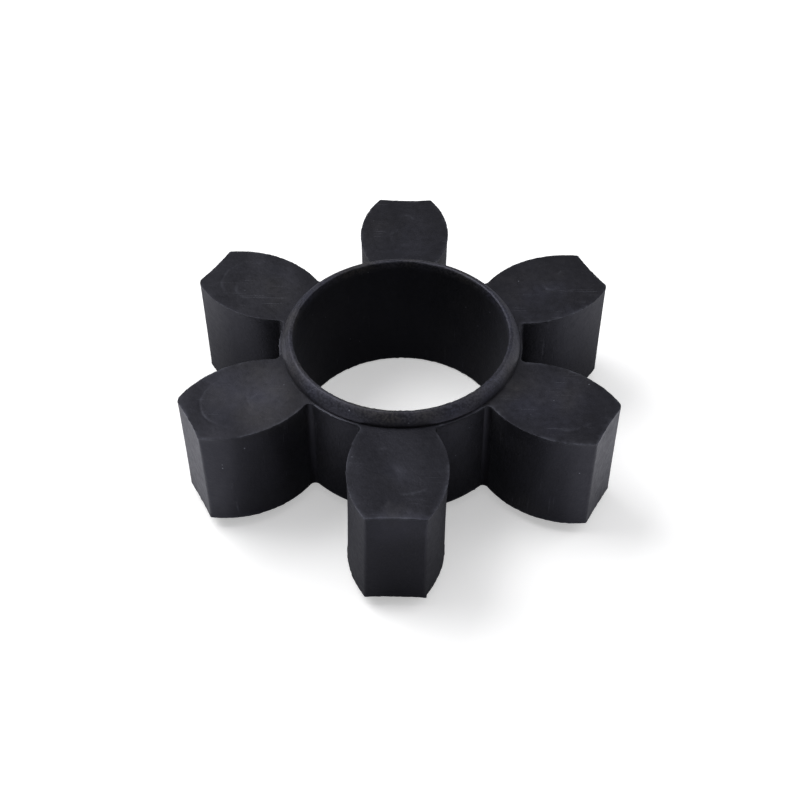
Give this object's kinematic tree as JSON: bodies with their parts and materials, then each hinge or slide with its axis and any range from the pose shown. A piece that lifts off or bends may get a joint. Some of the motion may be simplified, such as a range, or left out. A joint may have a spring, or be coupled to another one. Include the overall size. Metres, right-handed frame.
{
  "type": "jaw coupling spider",
  "caption": "Moulded rubber spider for a jaw coupling: barrel-sided legs around a thin hub ring with a raised rim on each face.",
  "frame": {"origin": "on the shaft axis, at the crest of the lower rim, so the part stands on z = 0", "axes": "+Z along the shaft axis, upwards; leg_1 points along -Y and the legs follow anticlockwise seen from above"},
  "size_m": [0.1294, 0.14, 0.0435],
  "materials": {
    "moulded_rubber": "moulded satin-matte black nitrile rubber"
  },
  "bodies": {
    "root": {"hub_ring": "moulded_rubber", "upper_rim": "moulded_rubber", "lower_rim": "moulded_rubber", "leg_1": "moulded_rubber", "leg_2": "moulded_rubber", "leg_3": "moulded_rubber", "leg_4": "moulded_rubber", "leg_5": "moulded_rubber", "leg_6": "moulded_rubber"}
  },
  "joints": []
}
